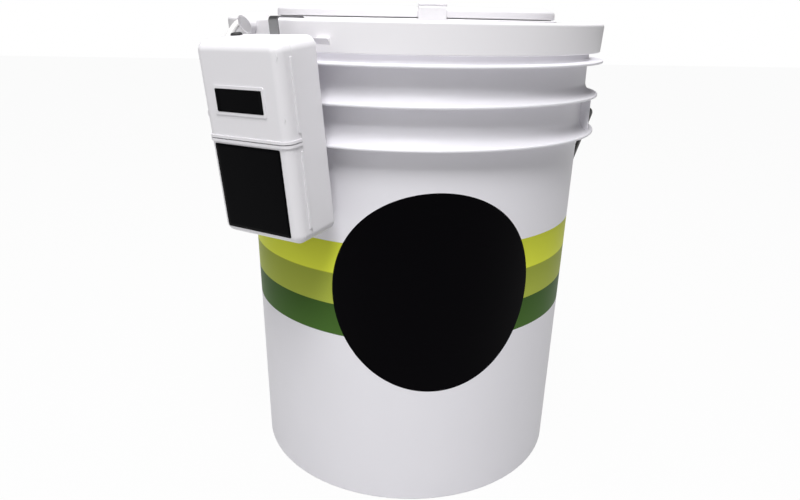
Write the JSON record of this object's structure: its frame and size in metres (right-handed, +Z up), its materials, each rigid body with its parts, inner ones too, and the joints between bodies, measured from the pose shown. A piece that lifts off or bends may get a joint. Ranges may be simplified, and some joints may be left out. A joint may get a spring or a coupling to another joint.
{
  "type": "aerated bait bucket",
  "caption": "Insulated pail with a snap lid, round flip-up hatch, wire bail, and a battery air pump clipped to the rim with an airline into the well.",
  "frame": {"origin": "centre of the foot ring on the floor", "axes": "+Z up, -Y the side of the hatch's thumb tab, X along the bail's hinge axis, pump towards -X -Y"},
  "size_m": [0.316, 0.3204, 0.379],
  "materials": {
    "pail_white": "glossy moulded polypropylene, banded label in yellow-green, olive and dark green",
    "liner_foam": "fine white bead foam",
    "bail_black": "satin black coating on wire",
    "grip_black": "satin black moulding",
    "lid_white": "glossy moulded polypropylene",
    "seal_rubber": "soft black rubber",
    "seal_foam": "pale closed-cell foam rubber",
    "pump_white": "glossy moulded housing",
    "clip_steel": "rolled sheet steel",
    "screw_steel": "bright zinc",
    "motor_can": "nickel plated can",
    "works_plastic": "natural acetal",
    "contact_nickel": "nickel plated spring strip",
    "cell_jacket": "printed steel jacket without words",
    "hose_silicone": "translucent white silicone",
    "stone_blue": "coarse bonded mineral"
  },
  "bodies": {
    "bucket": {"bucket_shell": "pail_white", "foam_liner": "liner_foam"},
    "bail": {"bail_wire": "bail_black"},
    "grip": {"bail_grip": "grip_black"},
    "lid": {"lid": "lid_white", "lid_gasket": "seal_foam", "hatch_pin": "screw_steel", "hose_port": "lid_white", "hose_grommet": "seal_rubber", "back_case": "pump_white", "upper_cover": "pump_white", "case_seal": "seal_rubber", "case_screws": "screw_steel", "pump_clip": "clip_steel", "clip_rivets": "clip_steel", "motor": "motor_can", "motor_sleeves": "seal_rubber", "lever_pin": "screw_steel", "diaphragm": "seal_rubber", "valve_block": "works_plastic", "valve_flaps": "seal_rubber", "air_duct": "hose_silicone", "outlet_elbow": "pump_white", "switch_body": "works_plastic", "cell_left": "cell_jacket", "cell_right": "cell_jacket", "contact_bridge": "contact_nickel", "contact_pads": "contact_nickel", "airline": "hose_silicone", "stone_cap": "works_plastic", "air_stone": "stone_blue"},
    "hatch": {"hatch": "lid_white", "hatch_seal": "seal_foam"},
    "battery_door": {"battery_cover": "pump_white"},
    "rotor": {"motor_shaft": "screw_steel", "crank_wheel": "works_plastic"},
    "pump_lever": {"lever": "works_plastic"},
    "button": {"switch_button": "seal_rubber"}
  },
  "joints": [
    {"name": "bail_swing", "type": "hinge", "parent": "bucket", "child": "bail", "pos_m": [0, 0, 0.298], "axis": [1, 0, 0], "range_deg": [0, 283]},
    {"name": "grip_spin", "type": "hinge", "parent": "bail", "child": "grip", "pos_m": [0, 0.14263, 0.11502], "axis": [1, 0, 0], "continuous": true},
    {"name": "lid_lift", "type": "slide", "parent": "bucket", "child": "lid", "axis": [0, 0, 1], "range_m": [0, 0.018]},
    {"name": "hatch_swing", "type": "hinge", "parent": "lid", "child": "hatch", "pos_m": [0, 0.1168, 0.372], "axis": [-1, 0, 0], "range_deg": [0, 105]},
    {"name": "battery_cover_off", "type": "slide", "parent": "lid", "child": "battery_door", "axis": [-0.6023, -0.7907, -0.1097], "range_m": [0, 0.045]},
    {"name": "motor_spin", "type": "hinge", "parent": "lid", "child": "rotor", "pos_m": [-0.11094, -0.13275, 0.31835], "axis": [0.7939, -0.6077, 0.0208], "continuous": true},
    {"name": "lever_rock", "type": "hinge", "parent": "lid", "child": "pump_lever", "pos_m": [-0.10956, -0.13151, 0.30195], "axis": [0.7939, -0.6077, 0.0208], "range_deg": [0, 5]},
    {"name": "button_press", "type": "slide", "parent": "lid", "child": "button", "axis": [0.0831, 0.0746, -0.9937], "range_m": [0, 0.0012], "stiffness_N_per_m": 1500}
  ]
}
